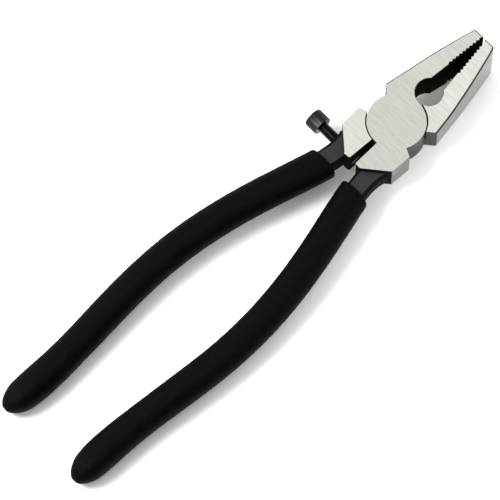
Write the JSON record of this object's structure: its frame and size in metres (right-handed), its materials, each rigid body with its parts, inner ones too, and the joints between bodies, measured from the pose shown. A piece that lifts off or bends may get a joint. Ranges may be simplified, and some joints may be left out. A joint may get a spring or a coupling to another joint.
{
  "type": "running pliers",
  "caption": "Hand pliers for running scored glass: lap-jointed levers with flared toothed jaws and a pipe grip, dipped handles and an adjustable stop screw.",
  "frame": {"origin": "on the pivot axis, in the plane of the head's lower cheek", "axes": "+Z along the pivot axis from the lower cheek to the upper one, +Y from the pivot to the jaws"},
  "size_m": [0.0498, 0.2018, 0.022],
  "materials": {
    "forged_steel": "satin ground on the cheeks and sides, black forged on the necks",
    "rivet_steel": "satin, ground flush",
    "grip_vinyl": "dipped vinyl, fine leathery texture",
    "screw_black_oxide": "black oxide, satin"
  },
  "bodies": {
    "upper_lever": {"upper_lever": "forged_steel", "pivot_rivet": "rivet_steel", "upper_lever_grip": "grip_vinyl"},
    "lower_lever": {"lower_lever": "forged_steel", "lower_lever_grip": "grip_vinyl"},
    "stop_screw": {"stop_screw": "screw_black_oxide"}
  },
  "joints": [
    {"name": "pivot", "type": "hinge", "parent": "upper_lever", "child": "lower_lever", "pos_m": [0, 0, 0.006], "axis": [0, 0, -1], "range_deg": [-1.2, 45]},
    {"name": "stop_screw_travel", "type": "slide", "parent": "lower_lever", "child": "stop_screw", "axis": [1, 0, 0], "range_m": [-0.006, 0.0015]}
  ]
}
